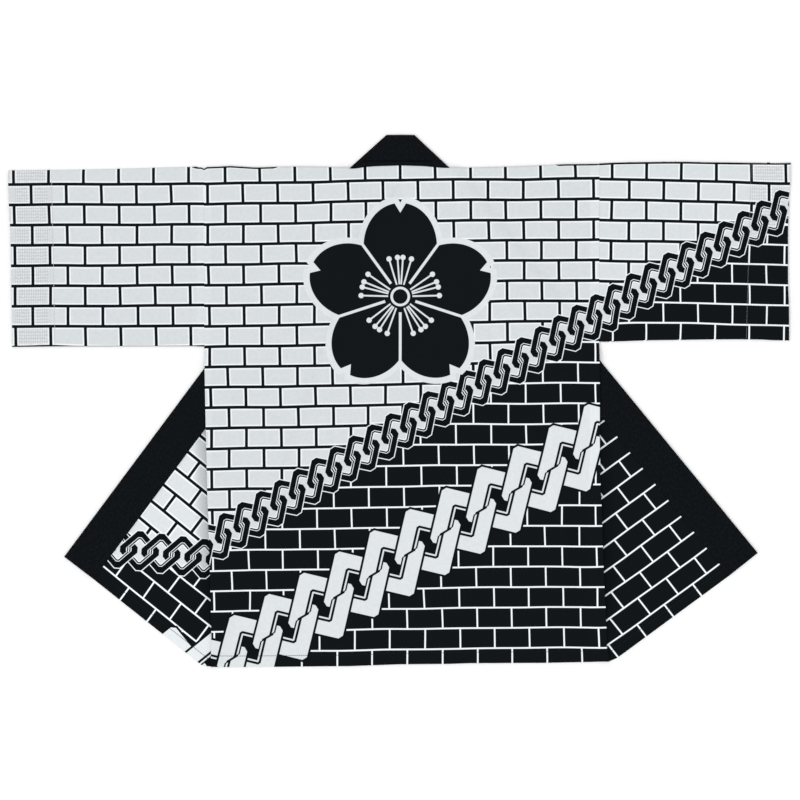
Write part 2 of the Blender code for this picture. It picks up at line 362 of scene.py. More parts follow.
# A number, vector or colour that changes over the cloth. Arithmetic on it adds Math nodes to its tree.
class Field:
    def __init__(self, tree, socket):
        self.tree, self.socket = tree, socket

    def math(self, operation, *others, clamp=False):
        node = self.tree.nodes.new("ShaderNodeMath")
        node.operation, node.use_clamp = operation, clamp
        for slot, value in zip(node.inputs, (self, *others)):
            setInput(slot, value)
        return Field(self.tree, node.outputs[0])

    def __add__(self, other):
        return self.math("ADD", other)

    def __mul__(self, other):
        return self.math("MULTIPLY", other)

    def __sub__(self, other):
        return self.math("SUBTRACT", other)

    def __rsub__(self, other):
        return self.math("MULTIPLY_ADD", -1.0, other)

    def __abs__(self):
        return self.math("ABSOLUTE")

    def floor(self):
        return self.math("FLOOR")

    def fraction(self):
        return self.math("FRACT")

    def wave(self, period, kind="COSINE"):
        return (self * (2 * math.pi / period)).math(kind)

    def within(self, edge, soft=0.5):  # 1 below the edge and 0 above it
        return self.math("MULTIPLY_ADD", -1.0 / soft, edge / soft + 0.5, clamp=True)

    def beyond(self, edge, soft=0.5):  # the other way round
        return self.math("MULTIPLY_ADD", 1.0 / soft, 0.5 - edge / soft, clamp=True)


# The largest of some fields or numbers, with a field first.
def larger(a, *others):
    for other in others:
        a = a.math("MAXIMUM", other)
    return a


# The smallest of them.
def smaller(a, *others):
    for other in others:
        a = a.math("MINIMUM", other)
    return a


# a where the share is 0 and b where it is 1: a + (b - a) share.
def blended(a, b, share):
    if isinstance(a, Field):
        change = a * -1.0 + b
    else:
        change = b - a
    return share.math("MULTIPLY_ADD", change, a)


# 1 along a stretch of the print in millimetres, and 0 off it.
def stretch(x, start, end):
    return smaller(x.beyond(start, 3.0), x.within(end, 3.0))


# A node of a kind with some inputs set or linked, as a field of one of its outputs.
def addNode(tree, kind, output, **inputs):
    node = tree.nodes.new(kind)
    if kind == "ShaderNodeMix":
        node.data_type = "RGBA"
    for name, value in inputs.items():
        setInput(node.inputs[name], value)
    return Field(tree, node.outputs[output])


# Noise over the print coordinates.
def noise(uv, output, scale, detail):
    return addNode(uv.tree, "ShaderNodeTexNoise", output, Vector=uv, Scale=scale, Detail=detail)


# The first two parts of a vector or colour.
def parted(field, kind="ShaderNodeSeparateXYZ"):
    node = field.tree.nodes.new(kind)
    setInput(node.inputs[0], field)
    return [Field(field.tree, node.outputs[n]) for n in (0, 1)]


# x and y on the coat, in metres.
def placeOnCoat(tree):
    return parted(addNode(tree, "ShaderNodeTexCoord", "Object"))


# A colour from dye a to dye b with the share.
def mixed(a, b, share):
    return addNode(share.tree, "ShaderNodeMix", "Result", Factor=share, A=a, B=b)


# A dye made lighter by a factor, as a node takes it.
def dyed(color, light=1.0):
    return tuple(light * c for c in color) + (1,)


# A new material and its shader, with the finish set.
def newMaterial(name, finish):
    material = bpy.data.materials.new(name)
    material.use_nodes = True
    shader = material.node_tree.nodes["Principled BSDF"]
    for socket, value in finish.items():
        shader.inputs[socket].default_value = value
    return material, shader


# The print coordinates of a piece, as a field.
def printPlace(material):
    node = material.node_tree.nodes.new("ShaderNodeUVMap")
    node.uv_map = "print"
    return Field(material.node_tree, node.outputs[0])


# Colours a shader, lighter by a factor, with low relief as bump whose full height is 0.1 mm.
def finishShader(shader, color, factor, strength, relief):
    bright = addNode(color.tree, "ShaderNodeHueSaturation", 0, Color=color, Value=factor)
    setInput(shader.inputs["Base Color"], bright)
    bump = addNode(color.tree, "ShaderNodeBump", 0, Strength=strength, Distance=0.0001, Height=relief)
    setInput(shader.inputs["Normal"], bump)


# Lattices of the bricks, in millimetres: height of a course's line at a place along x, the course, the
# rise of its lines, a joint of the even courses, the brick's length and the lean of the joints.
bricks = {
    "back": (354.5, -300.8, 33.33, 0.0152, 1.5, 57.29, 0.0140),
    "sleeve_left": (353.2, -619.7, 33.17, 0.0040, -344.1, 57.20, 0.0143),
    "sleeve_right": (361.2, 340.1, 33.28, -0.0226, 347.3, 56.78, -0.0100),
    "front_left": (356.2, -546.1, 33.26, -0.0252, -393.5, 56.68, 0.0173),
    "front_right": (363.3, 416.1, 33.37, -0.0148, 401.0, 56.43, 0.0190),
}
brickLines = {
    "dark": 2.5, "pale": 1.3, "soft": 0.5,  # half widths of the lines, and how soft they are
    "rim": 4.7, "rimSoft": 1.2,  # pale rim of a brick, from the line's middle
    "jointsFrom": 367.1,  # height at which the joints' places are given
}
chainLines = dict(
    holeCorner=0.6,  # a hole's cut corners against the ring's
    rim=1.5,  # pale rim inside the lining
    stroke=3.7, strokeEdge=(0.3, 0.6), spot=4.0, oval=0.5,  # strokes where two rings cross
)
smallChain = dict(
    x=274.2, y=110.7, pitch=35.3, slope=30.55, turn=11.8, halfWide=26.3, halfHigh=25.3, bar=8.55,
    corner=4.4, outline=1.4, lining=(1.0, 3.3), depth=4.25, crack=None, hatch=120,
)
bigChain = dict(
    x=-69.7, y=-300.8, pitch=67.7, slope=30.8, turn=13.5, halfWide=45.4, halfHigh=45.9, bar=22.55,
    corner=4.2, outline=3.65, lining=(3.8, 6.4), depth=8.95, crack=(1.8, 8.2), hatch=None,
)
leftFlapChains = (
    dict(smallChain, y=smallChain["y"] + 3.6),
    dict(bigChain, x=bigChain["x"] - 4.0, y=bigChain["y"] + 4.2),
)
rightSleeveChain = dict(smallChain, x=391.9, y=179.0, pitch=34.7, slope=29.3, turn=13.4)
blossom = dict(
    x=1.6, y=170.0, petal=83.0, long=70.0, wide=60.0, notch=137.0, surround=9.0, gap=2.2, core=26.0,
    heart=14.0, heartLine=2.0, thread=1.3, threadEnds=(20.0, 62.0), dot=4.3, dotsAt=64.0, light=0.4,
)
# Bands: start and end along x, and how much lighter. Cuffs: the facing's stretch, and its dots' stretch.
# Shade: where the back's side lies at y 0, and the flap's way from it.
printsOn = {
    "back": dict(flower=blossom, bands=((-320, -308, 0.035), (312, 328, 0.07))),
    "front_left": dict(chains=leftFlapChains, light=1.10, shade=(-316.8, 1.0)),
    "front_right": dict(chains=(smallChain, None), shade=(327.2, -1.0)),
    "sleeve_left": dict(
        chains=(smallChain, None), bands=((-330, -317, 0.035),), cuff=((-660, -567), (-628, -573))),
    "sleeve_right": dict(chains=(rightSleeveChain, None), light=1.03, cuff=((569, 660), (574, 628))),
}
dyes = {
    "white": (0.668, 0.705, 0.722), "cuffWhite": (0.655, 0.678, 0.697), "black": (0.0037, 0.0052, 0.0062),
    "wrongWhite": (0.62, 0.63, 0.64), "wrongBlack": (0.20, 0.21, 0.22),
    # how much lighter the white is: at a brick's rim, in the white lines and in the big chain
    "rimLight": 0.32, "lineLight": 0.38, "chainLight": 0.09,
}
cotton = {
    "waver": (7.0, 4.0),  # scale of the brick lines' wandering, and its reach in millimetres
    "grain": (160.0, 0.16),  # scale and strength of the uneven dye
    "thread": 0.31,  # of the weave, in millimetres
    "bump": 0.12,
    "finish": {
        "Roughness": 0.86, "Specular IOR Level": 0.03, "Sheen Weight": 0.01, "Sheen Roughness": 0.4},
}
# Rows of dots where a cuff's facing shows through, and shade on a flap beside the back's side.
cuffDots = dict(across=3.7, along=5.2, edge=1.5, soft=1.4, mean=0.42, strength=0.26, ragged=6.0)
flapShade = dict(reach=22.0, lean=25.5, foot=-390.0, rise=60.0, strength=0.34)


# Ink of the bricks: distance to the nearest line of the course or joint, even and odd courses shifted
# by half a brick. Black lines on pale bricks, or pale lines on black bricks. Returns the ink and how
# much lighter the white is, at the rims of the pale bricks and in the pale lines.
def brickInk(x, y, lattice, dark):
    line, at, high, rise, joint, long, lean = lattice
    course = ((x - at) * rise + (line - y)) * (1 / high)
    odd = ((course.floor() + 1.0) * 0.5).fraction()
    offset = (joint + lean * brickLines["jointsFrom"]) / long
    column = x.math("MULTIPLY_ADD", 1 / long, -offset) + y * (lean / long) + odd
    fromCourse = abs((course + 0.5).fraction() - 0.5) * high
    fromJoint = abs((column + 0.5).fraction() - 0.5) * long
    away = smaller(fromCourse, fromJoint)
    soft = brickLines["soft"]
    blackLine = away.within(brickLines["dark"], soft)
    paleBrick = away.beyond(brickLines["pale"], soft)
    rim = away.within(brickLines["rim"], brickLines["rimSoft"]) * dyes["rimLight"]
    return blended(blackLine, paleBrick, dark), blended(rim, dyes["lineLight"], dark)


# Distance from a rectangle with cut corners: the largest of the distances to its sides and corners.
def cornered(x, y, wide, high, corner):
    dx, dy = abs(x) - wide, abs(y) - high
    return larger(dx, dy, (dx + dy) * math.sqrt(0.5) + corner)


# A chain of flat rings. Two rings meet in each cell along the chain, and the cell looks the same when
# it is turned half round, so that the ring whose side is on top is always the first of the two. Where
# they cross, the small chain has strokes: a cosine across them in an oval spot, and the big one a crack.
# Returns what lies below the chain's middle line, what the chain covers, its ink, and its outline.
def chainInk(x, y, chain, barInk):
    stepX, stepY = rotated(chain["pitch"], 0.0, chain["slope"] + chain["turn"])
    lx, ly = rotated(x - chain["x"], y - chain["y"], chain["turn"])
    share = (lx * stepX + ly * stepY) * (1 / chain["pitch"] ** 2)
    above = (ly * stepX - lx * stepY) * (1 / chain["pitch"])
    cell = share.floor()
    lx, ly = lx - cell * stepX, ly - cell * stepY
    upper = above.math("GREATER_THAN", 0.0)
    lx, ly = blended(lx, stepX - lx, upper), blended(ly, stepY - ly, upper)
    wide, high, bar = chain["halfWide"], chain["halfHigh"], chain["bar"]

    def ring(px, py):
        outside = cornered(px, py, wide, high, chain["corner"])
        hole = cornered(px, py, wide - bar, high - bar, chain["corner"] * chainLines["holeCorner"])
        return outside, hole * -1.0

    firstOut, firstHole = ring(lx, ly)
    otherOut, otherHole = ring(lx - stepX, ly - stepY)
    edge, (near, far), depth = chain["outline"], chain["lining"], chain["depth"]

    def lined(out, hole):  # ink from the outline through the bar to the line inside it
        ink = blended(barInk, 1.0 - barInk, out.beyond(0.0))
        ink = blended(ink, 1.0 - barInk, hole.beyond(0.0))
        ink = blended(ink, barInk, hole.beyond(near))
        return blended(ink, 1.0 - barInk, hole.beyond(far))

    top, under = lined(firstOut, firstHole), lined(otherOut, otherHole)
    topCover = smaller(firstOut.within(edge), firstHole.within(depth))
    otherBar = smaller(otherOut.within(edge), otherHole.within(0.0))
    ink = blended(under, 1.0 - barInk, firstOut.within(0.0))
    ink = blended(ink, under, otherBar)
    ink = blended(ink, top, topCover)
    if chain["crack"]:
        halfWide, halfLong = chain["crack"]
        crack = smaller(abs(above).within(halfWide), abs(lx - stepX / 2).within(halfLong))
        ink = larger(ink, crack)
    if chain["hatch"]:
        lean = chain["hatch"] + chain["turn"]
        along, across = rotated(lx - stepX / 2, ly - stepY / 2, -lean)
        spot = (across * across * chainLines["oval"] + along * along).math("SQRT")
        stroke = across.wave(chainLines["stroke"]).within(*chainLines["strokeEdge"])
        ink = blended(ink, stroke, spot.within(chainLines["spot"]))
    cover = larger(firstOut.within(edge), otherOut.within(edge))
    outline = smaller(cover, firstOut.beyond(0.0), otherOut.beyond(0.0))
    rim = far + chainLines["rim"]
    rims = (smaller(hole.beyond(0.0), hole.within(rim)) for hole in (firstHole, otherHole))
    return above.within(0.0), cover, ink, larger(outline, *rims)


# A big blossom of five petals: the angle is folded into one petal, whose outline is an ellipse with a
# notch at its tip. Pale lines part the petals, and pale threads with dots stand round its heart.
def blossomInk(x, y, flower):
    dx, dy = x - flower["x"], y - flower["y"]
    radius = (dx * dx + dy * dy).math("SQRT")
    angle = dx.math("ARCTAN2", dy) * (5 / (2 * math.pi))
    folded = ((angle + 0.5).fraction() - 0.5) * (2 * math.pi / 5)
    px, py = radius * folded.math("COSINE"), abs(radius * folded.math("SINE"))
    ex = (px - flower["petal"]) * (flower["wide"] / flower["long"])
    petal = (ex * ex + py * py).math("SQRT") - flower["wide"]
    notch = (flower["notch"] - px) * 0.55 + py * 0.9
    gap = radius * (abs(folded) * -1.0 + math.pi / 5).math("SINE")
    petal = larger(petal, notch * -1.0, gap * -1.0 + flower["gap"])
    whole = smaller(petal, radius - flower["core"])
    heart = abs(radius - flower["heart"]).within(flower["heartLine"])
    # four threads to a petal, where five times the folded angle is 0.35 or 1.45 to either side
    fromThread = abs(abs(abs(folded * 5.0) - 0.9) - 0.55) * (radius * 0.2)
    start, end = flower["threadEnds"]
    threads = smaller(fromThread.within(flower["thread"]), radius.beyond(start), radius.within(end))
    out = radius - flower["dotsAt"]
    dots = (fromThread * fromThread + out * out).math("SQRT").within(flower["dot"])
    ink = whole.within(0.0) * (1.0 - larger(heart, threads, dots))
    return whole.within(flower["surround"]), ink


# Shade beside the line of the back's side, which leans: 1 - (d/r)^2 at distance d, and less at the hem.
def shadeOfBack(tree, sideAt, way):
    px, py = placeOnCoat(tree)
    away = (px * 1000.0 + py * flapShade["lean"] - sideAt) * (way / flapShade["reach"])
    away = smaller(away, 0.0)
    rise = 1 / flapShade["rise"]
    fromHem = py.math("MULTIPLY_ADD", 1000.0 * rise, -flapShade["foot"] * rise, clamp=True)
    return (1.0 - away * away).math("MAXIMUM", 0.0) * fromHem * flapShade["strength"]


# Printed cotton: a material whose colour follows the piece's print coordinates. The wrong side shows the
# print only faintly. Bands are stretches along x where the cloth is doubled under a seam, and the cuff has
# the stretch with a facing below it and the stretch where the facing shows through as rows of dots.
def printedCotton(name, lattice, chains=(smallChain, bigChain), flower=None, bands=(), cuff=None,
                  light=1.0, shade=None, white="white", black="black"):
    material, shader = newMaterial(name, cotton["finish"])
    uv = printPlace(material)
    straightX, straightY = (part * 1000.0 for part in parted(uv))
    scale, reach = cotton["waver"]
    waver = parted(noise(uv, "Color", scale, 1.0), "ShaderNodeSeparateColor")
    x, y = straightX + (waver[0] - 0.5) * reach, straightY + (waver[1] - 0.5) * reach
    dark, smallCover, smallInk, smallOutline = chainInk(straightX, straightY, chains[0], 1.0)
    ink, lighter = brickInk(x, y, lattice, dark)
    if chains[1]:
        _, bigCover, bigInk, _ = chainInk(straightX, straightY, chains[1], 0.0)
        ink = blended(ink, bigInk, bigCover)
        lighter = blended(lighter, dyes["chainLight"], bigCover)
    ink = blended(ink, smallInk, smallCover)
    lighter = blended(lighter, smallOutline * dyes["rimLight"], smallCover)
    if flower:
        cover, flowerInk = blossomInk(straightX, straightY, flower)
        ink = blended(ink, flowerInk, cover)
        lighter = blended(lighter, flowerInk * flower["light"] + dyes["chainLight"], cover)
    for start, end, share in bands:
        lighter = lighter + stretch(straightX, start, end) * share
    if shade:
        lighter = lighter - shadeOfBack(uv.tree, *shade)
    scale, strength = cotton["grain"]
    grain = noise(uv, "Fac", scale, 4.0) - 0.5
    mottle = grain * strength
    pale = dyed(dyes[white], light)
    if cuff:
        faced, dotted = (stretch(straightX, *ends) for ends in cuff)
        rows = y + grain * cuffDots["ragged"]
        dots = (x.wave(cuffDots["across"]) + 1.0) * (rows.wave(cuffDots["along"]) + 1.0)
        dots = dots.beyond(cuffDots["edge"], cuffDots["soft"]) - cuffDots["mean"]
        lighter = lighter + dots * dotted * cuffDots["strength"]
        pale = mixed(pale, dyed(dyes["cuffWhite"], light), faced)
    weave = straightX.wave(2 * cotton["thread"], "SINE") * straightY.wave(2 * cotton["thread"], "SINE")
    color = mixed(pale, dyed(dyes[black]), ink)
    finishShader(shader, color, (mottle + 1.0) * (lighter + 1.0), cotton["bump"], weave + mottle * 6.0)
    return material


wrongSideCotton = printedCotton(
    "printedCottonWrongSide", bricks["back"], white="wrongWhite", black="wrongBlack")


# A cloth piece in place of a solid. The sheet gets its wall, half to each side, its print and wrong side.
def makeCloth(solidName, grids, flipped):
    name = "printedCotton" + solidName.title().replace("_", "")
    printed = printedCotton(name, bricks[solidName], **printsOn[solidName])
    piece = makeSheet(solidName + "_cloth", grids, flipped)
    wall = piece.modifiers.new("wall", "SOLIDIFY")
    wall.thickness, wall.offset, wall.use_quality_normals = cloth["wall"], 0.0, True
    wall.material_offset = 1
    dress(piece, [printed, wrongSideCotton], solidName)
    return piece


stitching = {
    "pitch": 0.0030, "long": 0.0023, "thick": 0.00042,  # thick is half the thread's own
    "arch": 0.00025, "sunk": 0.00012,
    "ply": 0.0006,  # along the thread, from turn to turn of its plies
    "finish": {"Roughness": 0.6, "Specular IOR Level": 0.2},
}


# Sewing thread: two plies that turn round each other, as a wave along the thread's own coordinate, with
# painted shade in the grooves between the plies.
def sewingThread(name, color):
    material, shader = newMaterial(name, stitching["finish"])
    along, around = parted(printPlace(material))
    ply = (along * (2 * math.pi / stitching["ply"]) + around * (4 * math.pi)).math("SINE")
    # painted shade: the thread's own colour, darker in the grooves of the twist and full on the plies' crowns
    tone = mixed(dyed(color, 0.7), dyed(color), ply.math("MULTIPLY_ADD", 0.5, 0.5))
    setInput(shader.inputs["Base Color"], tone)
    return material


# Short threads along a line, sewn through the cloth whose middle is at a height. Each is an arch over a
# share s from -1/2 to 1/2 of its length: arch cos(pi s) over the cloth, less what is sunk, with four sides.
def makeStitches(name, line, height, thread, thick=stitching["thick"]):
    px, py = (np.array(v) for v in zip(*line))
    run = np.concatenate([[0], np.cumsum(np.hypot(np.diff(px), np.diff(py)))])
    count = int(run[-1] / stitching["pitch"])
    centre = (np.arange(count) + 0.5) * run[-1] / count
    s = np.linspace(-0.5, 0.5, 5)
    along = centre[:, None] + s * stitching["long"]
    x, y = np.interp(along, run, px), np.interp(along, run, py)
    dx, dy = x[:, -1:] - x[:, :1], y[:, -1:] - y[:, :1]
    length = np.hypot(dx, dy)
    surface = height(x, y) + cloth["wall"] / 2
    z = surface + stitching["arch"] * np.cos(np.pi * s) - stitching["sunk"]
    turn = np.arange(4) * np.pi / 2
    side, up = thick * np.cos(turn), thick * np.sin(turn)
    points = np.stack([
        x[..., None] - (dy / length)[..., None] * side,
        y[..., None] + (dx / length)[..., None] * side,
        z[..., None] + up,
    ], -1)
    index = np.arange(points[..., 0].size).reshape(points.shape[:3])
    after = np.roll(index, -1, axis=2)
    quads = np.stack([index[:, :-1], index[:, 1:], after[:, 1:], after[:, :-1]], -1).reshape(-1, 4)
    caps = np.vstack([index[:, 0], index[:, -1, ::-1]])
    prints = np.stack(np.broadcast_arrays(along[..., None], turn / (2 * np.pi)), -1).reshape(-1, 2)
    piece = makePiece(name, points.reshape(-1, 3), np.vstack([quads[:, ::-1], caps]), prints)
    dress(piece, [thread])
    return piece


blackThread = sewingThread("blackThread", (0.006, 0.007, 0.008))
whiteThread = sewingThread("whiteThread", (0.78, 0.79, 0.80))
greyThread = sewingThread("greyThread", (0.45, 0.46, 0.47))
print("materials made")

back = {
    "wide": 0.66,
    "lift": 0.0003,  # over the layers below
    "creases": [  # x and y of both ends, width, height
        (-0.10, -0.42, -0.105, 0.36, 0.006, 0.0007), (0.115, -0.42, 0.11, 0.37, 0.006, 0.0007),
        (-0.30, -0.18, 0.32, -0.17, 0.006, 0.0006), (-0.30, 0.10, 0.31, 0.11, 0.007, 0.0006),
        (-0.31, 0.02, -0.18, -0.06, 0.012, 0.0014), (0.325, 0.05, 0.20, -0.05, 0.012, 0.0013),
        (-0.29, -0.30, -0.16, -0.38, 0.014, 0.0012), (0.31, -0.27, 0.17, -0.36, 0.014, 0.0012),
        (-0.26, 0.37, -0.21, 0.21, 0.012, 0.0011), (0.27, 0.37, 0.22, 0.22, 0.012, 0.0011),
    ],
    "rolling": 0.0003,
    # where the cloth is drawn aside: centre x and y, reach along x and y, shift along x and y
    "pulls": [(328, -100, 45, 600, 0, 1.9), (234, 0, 55, 70, 0, 1.5), (290, -260, 50, 90, 1.7, 0.7),
              (285, 100, 60, 90, 1.1, 0), (-10, -385, 60, 45, 0, -1.2), (70, 358, 45, 40, 0, -1.1),
              (200, 358, 35, 40, -0.8, 0.6), (-45, -190, 80, 70, 1.5, 0), (-290, -30, 45, 90, -1.5, 0),
              (-247, -300, 45, 50, -1.8, 0), (100, -360, 90, 60, -1.5, 0), (-130, 340, 50, 50, -1.3, 0),
              (326, -165, 22, 100, 3.2, 0), (326, -330, 22, 50, 1.4, 0), (326, 20, 22, 40, 1.6, 0),
              (18, -38, 100, 80, 0.8, -1.4), (-82, -130, 80, 65, 0.8, -0.6), (-277, -335, 38, 60, -1.9, 0),
              (-236, -384, 50, 40, 0, -1.1), (222, -82, 60, 60, -0.6, 0.9), (255, -196, 50, 45, 0.8, 0.8),
              (132, -392, 110, 50, -0.7, 0), (-72, -379, 70, 45, -0.9, -0.4), (197, 188, 35, 40, 1.0, 0),
              (-290, -213, 50, 45, -0.8, 0), (67, 0, 50, 40, 0, -0.9)],
}


# Relief of the back: its creases, rolling and turned hem, and the armholes' seams.
def backRelief(x, y):
    height = creased(x, y, back["creases"]) + rolling(x, y, back["rolling"], 0.6)
    height += turnedEdge(y - edgeHeight("hem", x), cloth["hem"])
    for side in sides:  # the armhole's seam lies in a shallow groove beside its turned allowance
        seam = fromSeam(x, y, side, "armpit", "shoulder")
        sewn = closeTo(np.abs(y - armhole["middle"]), armhole["half"], 0.01)
        allowance = armhole["allowance"] * closeTo(seam, armhole["deep"], 0.004)
        height += sewn * (allowance - seamGroove(seam))
    return height


# Height of the middle of the back's cloth, over the fronts.
def backTop(x, y):
    return overFronts(x, y) + cloth["layer"] / 2 + back["lift"] + backRelief(x, y)


# The last rows and how far past the line's middle they lie, and the stretches where the print shows.
edgeRows = {-1: 2.3, -2: -2.6}
topLineShown = {
    "back": [(-0.345, -0.190), (0.245, 0.34)],
    "sleeve_left": [(-0.345, -0.215)], "sleeve_right": [(0.30, 0.66)],
}


# Print height beside an upper edge: the print runs on round the fold there, as far as the next course's
# line and the given length past its middle, over the stretches where it shows.
def foldedPrint(x, y, solidName, past):
    line, at, high, rise = bricks[solidName][:4]
    line = line + (x * 1000 - at) * rise + high
    shares = [np.clip(np.minimum(x - start, end - x) / 0.015, 0, 1) for start, end in topLineShown[solidName]]
    return y + np.max(shares, axis=0) * ((line + past) / 1000 - y)


# Rows run straight from side to side; the hem's and the neck's own waving fades away from them.
def makeBack():
    low, high = leftSide["hem"][1], leftSide["shoulder"][1]
    t = spaced(high - low, cloth["hem"], cloth["lastStep"])
    left, right = (onSide(s, s["hem"][1] + t * (s["shoulder"][1] - s["hem"][1])) for s in sides)
    x, y = rowsBetween(left, right, spaced(back["wide"]))
    up = t[:, None]
    y = y + (1 - up) ** 2 * (edgeHeight("hem", x) - y[:1]) + up**6 * (edgeHeight("neck", x) - y[-1:])
    z = backTop(x, y)
    u, v = pulled(x, y, back["pulls"])
    for row, past in edgeRows.items():
        v[row] = foldedPrint(x[row], v[row], "back", past)
    piece = makeCloth("back", [(x, y, z, u, v)], True)
    x = np.linspace(leftSide["hem"][0] + 0.002, rightSide["hem"][0] - 0.002, 200)  # 2 mm in at both ends
    hemLine = zip(x, edgeHeight("hem", x) + cloth["hem"] - turned["inset"])
    threads = makeStitches("back_hem_stitches", hemLine, backTop, blackThread)


makeBack()
print("back made")

fronts = {  # with the flaps that are folded out past the sides
    "area": {"left": 0.200, "right": 0.175},
    "flapWide": 0.24, "underWide": 0.20,
    "foldSteps": 4,
    "rolling": 0.00012,
    "lift": 0.0002,
    "creases": {
        "left": [(-0.345, -0.38, -0.335, -0.12, 0.007, 0.0007), (-0.47, -0.28, -0.35, -0.21, 0.009, 0.0006)],
        "right": [(0.372, -0.37, 0.362, -0.11, 0.007, 0.0007), (0.50, -0.27, 0.38, -0.20, 0.009, 0.0006)],
    },
    "hem": 0.0157,
    "cornerFade": 0.06,
    "pulls": {
        "left": [(-547, -425, 20, 18, -0.8, 0)],
        "right": [(586, -425, 25, 22, -1.4, 0), (406, -400, 45, 30, -0.9, 1.5)],
    },
}


# Distance of the points from a flap's hem, which bends near its foot.
def fromFlapHem(x, y, side):
    return np.minimum(fromSeam(x, y, side, "flapFoot", "seamTip"), fromSeam(x, y, side, "hem", "flapFoot"))


# Height of the middle of a flap's cloth: half a layer and its turned hem, and outside the back its relief.
def flapTop(x, y, side):
    outside = np.clip(awayFrom(x, y, side["under"]) / 0.02, 0, 1)  # full 2 cm past the back's side
    hemFold = 0.7 * turnedEdge(fromFlapHem(x, y, side), fronts["hem"])  # pressed flatter than the back's
    ridges = creased(x, y, fronts["creases"][side["name"]])
    relief = outside * (fronts["lift"] + rolling(x, y, fronts["rolling"], 2.0) + ridges)
    return cloth["layer"] / 2 + hemFold + relief


# A front is one sheet: the flap, the round of the slanting fold, and the part that stays under the back.
# The flap's rows run level with its hem, and the round is half a circle between the two layers.
def makeFront(side):
    name, inward = side["name"], side["inward"]
    hem, top, foot, tip, neck = np.array(
        cornersOf(side, "hem", "foldTop", "flapFoot", "seamTip", "neckPoint"))
    foldLength = np.linalg.norm(top - hem)
    sine = fromSeam(*top, side, "hem", "seamTip") / foldLength
    along = spaced(foldLength, fronts["hem"] / sine)
    fold = hem + along[:, None] * (top - hem)
    fromHem = along * sine * foldLength
    seamX, seamY = np.transpose(cornersOf(side, "seamTip", "seamSide", "foldTop"))
    seamHem = fromSeam(seamX, seamY, side, "hem", "seamTip")
    seam = np.column_stack([np.interp(fromHem, seamHem, seamX), np.interp(fromHem, seamHem, seamY)])
    toSeam = spaced(fronts["flapWide"])[::-1]
    flapX, flapY = rowsBetween(fold, seam, toSeam)
    flapWide = np.linalg.norm(tip - hem)
    footShare = (foot - hem) @ (tip - hem) / flapWide**2
    drop = foot - hem - footShare * (tip - hem)  # from the straight hem out to the foot
    fade = np.clip(1 - fromHem / fronts["cornerFade"], 0, 1)[:, None]
    share = np.interp(toSeam, [0, footShare, 1], [0, 1, 0]) * fade
    flapX, flapY = flapX + share * drop[0], flapY + share * drop[1]
    flapZ = flapTop(flapX, flapY, side)
    flapU, flapV = turnedAbout(flapX, flapY, side["hinge"], side["flapTurn"])
    flapU, flapV = pulled(flapU, flapV, fronts["pulls"][name])

    def level(edge, sideY):  # rows from an edge to the body's side, under the back
        x, y = rowsBetween(edge, onSide(side, sideY), spaced(fronts["underWide"]))
        return x, y, overFlaps(x, y) + cloth["layer"] / 2

    sideY = hem[1] + along * (top[1] - hem[1])
    underX, underY, underZ = level(fold, sideY)
    out = np.array([top[1] - hem[1], hem[0] - top[0]]) / foldLength * inward
    bulge, stripZ = foldRound(flapZ[:, -1:], underZ[:, :1], fronts["foldSteps"])
    stripX, stripY = fold[:, :1] + out[0] * bulge, fold[:, 1:] + out[1] * bulge
    mirror = 2 * side["hinge"][0]
    stripU, stripV = (np.broadcast_to(part, bulge.shape) for part in (mirror - fold[:, :1], fold[:, 1:]))
    lower = [np.hstack(parts) for parts in (
        (flapX, stripX, underX), (flapY, stripY, underY), (flapZ, stripZ, underZ),
        (flapU, stripU, mirror - underX), (flapV, stripV, underY))]

    rows = spaced(np.linalg.norm(neck - top))
    endY = sideY[-1] + rows * (side["shoulder"][1] - 0.001 - sideY[-1])  # 1 mm short of the back
    x, y, z = level(top + rows[:, None] * (neck - top), endY)
    solid = "front_" + name
    piece = makeCloth(solid, [lower, (x, y, z, mirror - x, y)], inward > 0)
    away = np.array([-(tip - foot)[1], (tip - foot)[0]]) / np.linalg.norm(tip - foot) * -inward
    stitchLine = [foot + away * (fronts["hem"] - turned["inset"]) + share * (tip - foot) for share in (0, 1)]
    threads = makeStitches(solid + "_hem_stitches", stitchLine, lambda x, y: flapTop(x, y, side),
                           blackThread)


for side in sides:
    makeFront(side)
print("fronts made")

